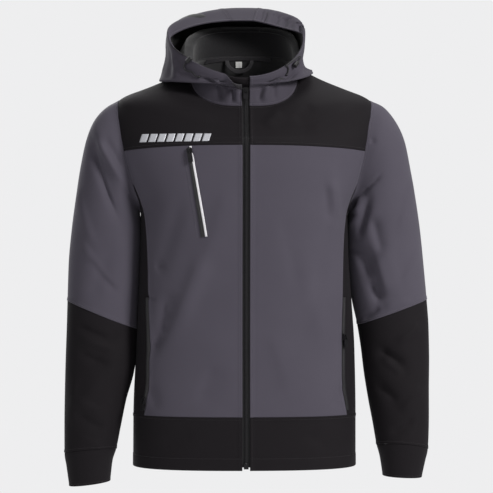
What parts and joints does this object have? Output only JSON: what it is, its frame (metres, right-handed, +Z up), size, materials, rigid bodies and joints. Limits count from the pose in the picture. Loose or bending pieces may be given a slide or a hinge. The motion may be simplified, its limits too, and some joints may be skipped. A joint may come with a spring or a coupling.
{
  "type": "softshell jacket",
  "caption": "Hooded softshell jacket with a full front zip, zipped chest and hand pockets, contrast yokes and sleeves, and its hood turned down, filled out as if worn.",
  "frame": {"origin": "middle of the neck opening, level with the points where the collar meets the shoulder seams", "axes": "+Z up along the wearer's back, the front faces -Y, +X towards the wearer's left"},
  "size_m": [0.654, 0.262, 0.8633],
  "materials": {
    "shell_grey": "matt bonded softshell, charcoal grey",
    "shell_black": "matt bonded softshell, black",
    "hood_grey": "matt bonded softshell, dark grey",
    "zip_tape": "woven tape, black",
    "zip_teeth": "moulded teeth, black",
    "piping_white": "smooth light piping",
    "slider_metal": "black painted cast metal",
    "label_white": "smooth woven label, blank",
    "hood_cord": "round elastic cord, black",
    "lock_plastic": "moulded cord lock, black"
  },
  "bodies": {
    "shell": {"front_left": "shell_grey", "front_right": "shell_grey", "back_panel": "shell_grey", "sleeve_upper_left": "shell_grey", "sleeve_upper_right": "shell_grey", "yoke_front_left": "shell_black", "yoke_front_right": "shell_black", "yoke_back": "shell_black", "hem_left": "shell_black", "hem_right": "shell_black", "hem_back": "shell_black", "side_panel_left": "shell_black", "side_panel_right": "shell_black", "sleeve_lower_left": "shell_black", "sleeve_lower_right": "shell_black", "cuff_left": "shell_black", "cuff_right": "shell_black", "chin_guard": "shell_black", "collar": "hood_grey", "hood_side_left": "hood_grey", "hood_centre": "hood_grey", "hood_side_right": "hood_grey", "zip_tape_left": "zip_tape", "zip_tape_right": "zip_tape", "chest_zip": "zip_tape", "pocket_zip_left": "zip_tape", "pocket_zip_right": "zip_tape", "neck_tape": "zip_tape", "hanger_loop": "zip_tape", "zip_chain": "zip_teeth", "zip_box": "zip_teeth", "chest_piping": "piping_white", "zip_slider": "slider_metal", "chest_slider": "slider_metal", "pocket_left_slider": "slider_metal", "pocket_right_slider": "slider_metal", "neck_label": "label_white", "hood_cord_left": "hood_cord", "hood_cord_right": "hood_cord", "cord_lock_left": "lock_plastic", "cord_lock_right": "lock_plastic"},
    "zip_pull_tab": {"zip_pull": "slider_metal"},
    "chest_pull_tab": {"chest_pull": "slider_metal"},
    "pocket_left_pull_tab": {"pocket_left_pull": "slider_metal"},
    "pocket_right_pull_tab": {"pocket_right_pull": "slider_metal"}
  },
  "joints": [
    {"name": "front_pull_swing", "type": "hinge", "parent": "shell", "child": "zip_pull_tab", "pos_m": [0, -0.0849, -0.04415], "axis": [-1, 0, 0], "range_deg": [0, 120]},
    {"name": "chest_pull_swing", "type": "hinge", "parent": "shell", "child": "chest_pull_tab", "pos_m": [-0.09913, -0.12048, -0.15163], "axis": [-0.974, 0.1655, -0.1549], "range_deg": [0, 120]},
    {"name": "left_pocket_pull_swing", "type": "hinge", "parent": "shell", "child": "pocket_left_pull_tab", "pos_m": [0.17732, -0.07427, -0.47775], "axis": [-0.6937, -0.7203, 0], "range_deg": [0, 120]},
    {"name": "right_pocket_pull_swing", "type": "hinge", "parent": "shell", "child": "pocket_right_pull_tab", "pos_m": [-0.18244, -0.07427, -0.58967], "axis": [-0.6679, 0.7443, 0], "range_deg": [0, 120]}
  ]
}
